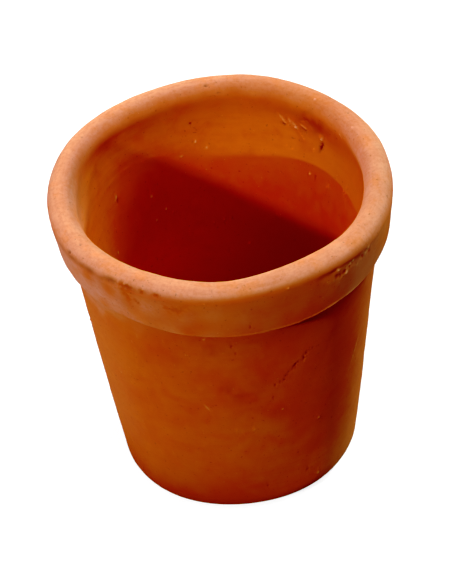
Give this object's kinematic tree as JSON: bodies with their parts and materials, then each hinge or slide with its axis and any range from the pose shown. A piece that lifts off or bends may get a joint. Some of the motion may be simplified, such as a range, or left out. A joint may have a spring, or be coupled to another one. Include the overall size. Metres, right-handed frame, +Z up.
{
  "type": "plant pot",
  "caption": "Small round terracotta plant pot with a thick rounded lip, a stepped collar, a gently tapered body and a drain hole through its flat foot.",
  "frame": {"origin": "centre of the resting face, under the drain hole", "axes": "+Z up along the pot's axis of turning, out of the mouth; X and Y lie in the ground plane"},
  "size_m": [0.08, 0.08, 0.083],
  "materials": {
    "terracotta": "matt unglazed fired clay, slightly chalky on the lip"
  },
  "bodies": {
    "root": {"pot": "terracotta"}
  },
  "joints": []
}
